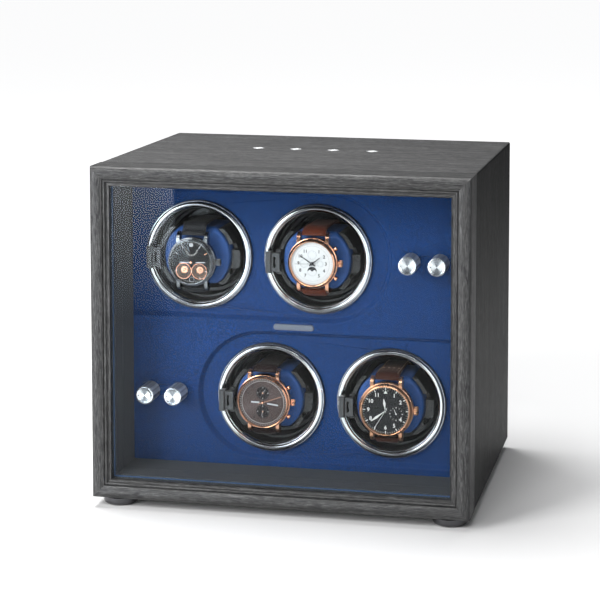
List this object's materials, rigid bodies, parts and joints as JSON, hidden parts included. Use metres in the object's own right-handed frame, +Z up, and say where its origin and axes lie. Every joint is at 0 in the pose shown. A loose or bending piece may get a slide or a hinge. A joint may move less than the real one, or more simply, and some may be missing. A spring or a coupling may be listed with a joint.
{
  "type": "watch winder box",
  "caption": "Wood-veneered box with a hinged glass door; motor-driven round holders behind it keep automatic watches wound.",
  "frame": {"origin": "centre of the footprint, on the table plane under the foot pads", "axes": "+Z up, +X to the right seen from the front, -Y out of the glass door"},
  "size_m": [0.3111, 0.216, 0.277],
  "materials": {
    "veneer": "open-grain charcoal veneer, satin",
    "back_board": "black laminated board, satin",
    "raw_wood": "sawn",
    "lining": "fine charcoal wrap, matte",
    "face_leather": "fine pebbled blue leatherette",
    "bright_metal": "satin",
    "chrome": "polished",
    "rubber": "matte",
    "black_plastic": "satin moulded",
    "latch_plastic": "satin moulded",
    "circuit_board": "solder mask",
    "lead_insulation": "smooth",
    "steel": "turned",
    "hinge_brass": "satin",
    "magnet": "plated",
    "motor_metal": "plated",
    "switch_metal": "plated",
    "glass": "clear, polished",
    "pillow_blue": "soft blue suedette",
    "spun_aluminium": "spun end face, bright side",
    "watch_steel": "polished",
    "rose_gold": "polished",
    "bronze": "satin"
  },
  "bodies": {
    "case": {"top_panel": "veneer", "bottom_panel": "veneer", "left_side_panel": "veneer", "right_side_panel": "veneer", "back_panel": "back_board", "back_panel_screws": "steel", "compartment_lining": "lining", "face_board": "face_leather", "face_board_cleats": "raw_wood", "badge_bar": "bright_metal", "top_inlays": "bright_metal", "feet": "chrome", "foot_pads": "rubber", "dc_jack": "black_plastic", "control_board": "circuit_board", "wiring_loom": "lead_insulation", "hinge_case_leaves": "hinge_brass", "hinge_pins": "steel", "door_magnets": "magnet", "rotor_housings": "black_plastic", "rotor_axles": "steel", "bezel_rings": "chrome", "gear_motors": "motor_metal", "mode_switches": "switch_metal"},
    "door": {"door_top_rail": "veneer", "door_bottom_rail": "veneer", "door_left_stile": "veneer", "door_right_stile": "veneer", "door_glass": "glass", "glass_retainer": "lining", "hinge_door_leaves": "hinge_brass", "door_strike_plates": "steel"},
    "rotor_1": {"rotor_cup_1": "black_plastic"},
    "pinion_1": {"motor_pinion_1": "hinge_brass"},
    "holder_1": {"watch_holder_1": "black_plastic", "pillow_1": "pillow_blue", "watch_1": "watch_steel"},
    "latch_1": {"holder_latch_1": "latch_plastic"},
    "knob_1": {"knob_1": "spun_aluminium"},
    "rotor_2": {"rotor_cup_2": "black_plastic"},
    "pinion_2": {"motor_pinion_2": "hinge_brass"},
    "holder_2": {"watch_holder_2": "black_plastic", "pillow_2": "pillow_blue", "watch_2": "rose_gold"},
    "latch_2": {"holder_latch_2": "latch_plastic"},
    "knob_2": {"knob_2": "spun_aluminium"},
    "rotor_3": {"rotor_cup_3": "black_plastic"},
    "pinion_3": {"motor_pinion_3": "hinge_brass"},
    "holder_3": {"watch_holder_3": "black_plastic", "pillow_3": "pillow_blue", "watch_3": "rose_gold"},
    "latch_3": {"holder_latch_3": "latch_plastic"},
    "knob_3": {"knob_3": "spun_aluminium"},
    "rotor_4": {"rotor_cup_4": "black_plastic"},
    "pinion_4": {"motor_pinion_4": "hinge_brass"},
    "holder_4": {"watch_holder_4": "black_plastic", "pillow_4": "pillow_blue", "watch_4": "bronze"},
    "latch_4": {"holder_latch_4": "latch_plastic"},
    "knob_4": {"knob_4": "spun_aluminium"}
  },
  "joints": [
    {"name": "door_hinge", "type": "hinge", "parent": "case", "child": "door", "pos_m": [-0.1548, -0.081, 0.1425], "axis": [0, 0, -1], "range_deg": [0, 110]},
    {"name": "rotor_1_spin", "type": "hinge", "parent": "case", "child": "rotor_1", "pos_m": [-0.0808, 0, 0.1985], "axis": [0, 1, 0], "continuous": true},
    {"name": "pinion_1_spin", "type": "hinge", "parent": "case", "child": "pinion_1", "pos_m": [-0.0808, 0, 0.1685], "axis": [0, 1, 0], "continuous": true},
    {"name": "holder_1_pull", "type": "slide", "parent": "rotor_1", "child": "holder_1", "axis": [0, -1, 0], "range_m": [0, 0.02]},
    {"name": "latch_1_squeeze", "type": "slide", "parent": "holder_1", "child": "latch_1", "axis": [1, 0, 0], "range_m": [0, 0.0025], "stiffness_N_per_m": 400},
    {"name": "knob_1_turn", "type": "hinge", "parent": "case", "child": "knob_1", "pos_m": [-0.1213, -0.06, 0.084], "axis": [0, 1, 0], "range_deg": [0, 270]},
    {"name": "rotor_2_spin", "type": "hinge", "parent": "case", "child": "rotor_2", "pos_m": [0.0198, 0, 0.1985], "axis": [0, 1, 0], "continuous": true},
    {"name": "pinion_2_spin", "type": "hinge", "parent": "case", "child": "pinion_2", "pos_m": [0.0198, 0, 0.1685], "axis": [0, 1, 0], "continuous": true},
    {"name": "holder_2_pull", "type": "slide", "parent": "rotor_2", "child": "holder_2", "axis": [0, -1, 0], "range_m": [0, 0.02]},
    {"name": "latch_2_squeeze", "type": "slide", "parent": "holder_2", "child": "latch_2", "axis": [1, 0, 0], "range_m": [0, 0.0025], "stiffness_N_per_m": 400},
    {"name": "knob_2_turn", "type": "hinge", "parent": "case", "child": "knob_2", "pos_m": [-0.0975, -0.06, 0.084], "axis": [0, 1, 0], "range_deg": [0, 270]},
    {"name": "rotor_3_spin", "type": "hinge", "parent": "case", "child": "rotor_3", "pos_m": [-0.0198, 0, 0.0825], "axis": [0, 1, 0], "continuous": true},
    {"name": "pinion_3_spin", "type": "hinge", "parent": "case", "child": "pinion_3", "pos_m": [-0.0198, 0, 0.0525], "axis": [0, 1, 0], "continuous": true},
    {"name": "holder_3_pull", "type": "slide", "parent": "rotor_3", "child": "holder_3", "axis": [0, -1, 0], "range_m": [0, 0.02]},
    {"name": "latch_3_squeeze", "type": "slide", "parent": "holder_3", "child": "latch_3", "axis": [1, 0, 0], "range_m": [0, 0.0025], "stiffness_N_per_m": 400},
    {"name": "knob_3_turn", "type": "hinge", "parent": "case", "child": "knob_3", "pos_m": [0.0975, -0.06, 0.2], "axis": [0, 1, 0], "range_deg": [0, 270]},
    {"name": "rotor_4_spin", "type": "hinge", "parent": "case", "child": "rotor_4", "pos_m": [0.0808, 0, 0.0825], "axis": [0, 1, 0], "continuous": true},
    {"name": "pinion_4_spin", "type": "hinge", "parent": "case", "child": "pinion_4", "pos_m": [0.0808, 0, 0.0525], "axis": [0, 1, 0], "continuous": true},
    {"name": "holder_4_pull", "type": "slide", "parent": "rotor_4", "child": "holder_4", "axis": [0, -1, 0], "range_m": [0, 0.02]},
    {"name": "latch_4_squeeze", "type": "slide", "parent": "holder_4", "child": "latch_4", "axis": [1, 0, 0], "range_m": [0, 0.0025], "stiffness_N_per_m": 400},
    {"name": "knob_4_turn", "type": "hinge", "parent": "case", "child": "knob_4", "pos_m": [0.1213, -0.06, 0.2], "axis": [0, 1, 0], "range_deg": [0, 270]}
  ],
  "couplings": [
    {"joint": "pinion_1_spin", "follows": "rotor_1_spin", "ratio": -4},
    {"joint": "pinion_2_spin", "follows": "rotor_2_spin", "ratio": -4},
    {"joint": "pinion_3_spin", "follows": "rotor_3_spin", "ratio": -4},
    {"joint": "pinion_4_spin", "follows": "rotor_4_spin", "ratio": -4}
  ]
}
